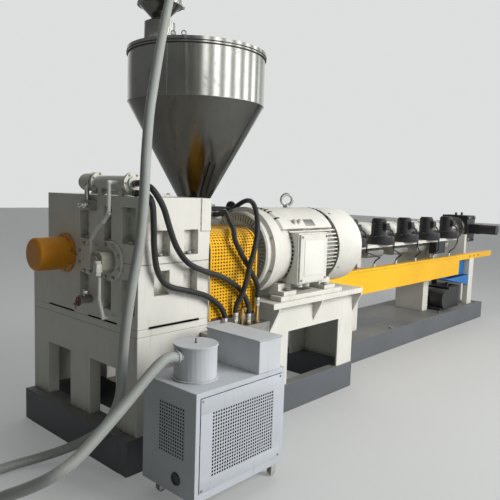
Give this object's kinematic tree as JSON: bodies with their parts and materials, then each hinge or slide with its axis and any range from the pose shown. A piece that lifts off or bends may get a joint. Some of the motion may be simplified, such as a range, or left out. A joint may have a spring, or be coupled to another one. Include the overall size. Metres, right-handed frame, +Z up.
{
  "type": "single-screw plastic extruder",
  "caption": "Single-screw plastic extruder with a ribbed gearbox, side-by-side drive motor, steel hopper with a vacuum loader, and an air-cooled barrel.",
  "frame": {"origin": "the underside of the base frame on the floor, straight below the screw axis at the rear face of the gearbox", "axes": "+X along the screw from the gearbox to the die end, +Y away from the motor, +Z up"},
  "size_m": [6.7773, 1.726, 3.162],
  "materials": {
    "bare_steel": "machined",
    "black_paint": "semi-matt enamel",
    "black_rubber": "moulded",
    "blue_paint": "gloss enamel",
    "brass_fittings": "cast and turned",
    "clear_hose": "ribbed PVC",
    "cream_paint": "satin machine enamel",
    "dark_paint": "matt machine enamel",
    "orange_paint": "satin enamel",
    "pale_coat": "fine-textured powder coat",
    "pump_enamel": "satin enamel",
    "stainless": "rolled and brushed",
    "yellow_paint": "gloss powder coat",
    "zinc_sheet": "galvanised sheet"
  },
  "bodies": {
    "root": {"base_side_rails": "dark_paint", "base_cross_members": "dark_paint", "pedestal_plate": "cream_paint", "pedestal_frames": "cream_paint", "pedestal_sides": "cream_paint", "gearbox_lower_case": "cream_paint", "gearbox_upper_case": "cream_paint", "inspection_cover": "cream_paint", "screw_rear_cap": "orange_paint", "bearing_covers": "cream_paint", "oil_pump": "pump_enamel", "oil_cooler": "cream_paint", "oil_pipes": "cream_paint", "oil_fittings": "bare_steel", "coupling_guard": "yellow_paint", "motor_frame": "cream_paint", "motor_end_bell": "cream_paint", "motor_fan_cowl": "cream_paint", "motor_terminal_box": "cream_paint", "motor_lifting_eye": "bare_steel", "motor_feet_rails": "cream_paint", "motor_stand_top": "cream_paint", "motor_stand_walls": "cream_paint", "screw_lantern": "cream_paint", "feed_throat": "cream_paint", "slide_gate": "black_paint", "hopper_shell": "stainless", "hopper_lid": "stainless", "hopper_sight_glass": "black_paint", "receiver": "stainless", "barrel": "bare_steel", "heater_zones": "cream_paint", "air_ducts": "zinc_sheet", "blower_rail": "cream_paint", "blower_volutes": "black_paint", "blower_motors": "black_paint", "blower_conduits": "black_rubber", "zone_junction_box": "black_paint", "cable_trough": "yellow_paint", "trough_supports": "cream_paint", "barrel_legs": "cream_paint", "barrel_leg_beams": "cream_paint", "barrel_base": "dark_paint", "screen_changer": "black_paint", "hydraulic_unit": "black_paint", "drip_tray": "blue_paint", "water_manifold": "bare_steel", "water_valves": "brass_fittings", "loader_cabinet": "pale_coat", "loader_control_box": "pale_coat", "loader_filter_drum": "pale_coat", "loader_casters": "black_rubber", "vacuum_hose": "clear_hose", "cooler_supply_hose": "black_rubber", "cooler_return_hose": "black_rubber", "throat_supply_hose": "black_rubber", "throat_return_hose": "black_rubber"}
  },
  "joints": []
}
